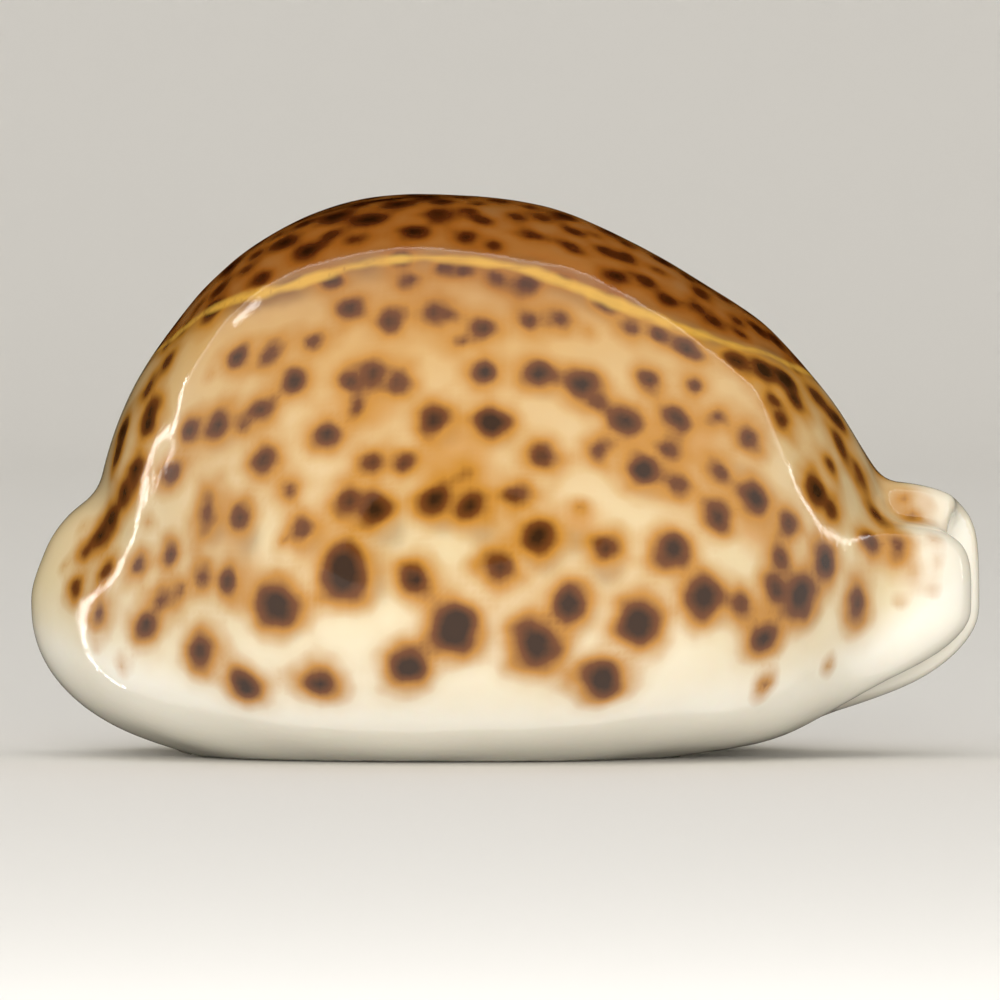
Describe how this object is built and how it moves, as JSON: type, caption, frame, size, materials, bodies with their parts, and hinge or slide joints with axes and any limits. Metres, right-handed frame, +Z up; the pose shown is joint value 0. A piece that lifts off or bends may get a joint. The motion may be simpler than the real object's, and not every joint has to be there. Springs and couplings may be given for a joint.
{
  "type": "cowrie shell",
  "caption": "Glossy egg-shaped sea snail shell with a spotted back, a pale flat base and a long toothed slit into its hollow.",
  "frame": {"origin": "on the ground under the middle of the shell's box, level with the flat spot that it rests on", "axes": "+X towards the siphon end, -X towards the spire end, -Y towards the outer lip, +Y towards the columella lip, +Z up through the back"},
  "size_m": [0.08, 0.056, 0.0472],
  "materials": {
    "glossy_shell": "polished"
  },
  "bodies": {
    "root": {"cowrie_shell": "glossy_shell"}
  },
  "joints": []
}
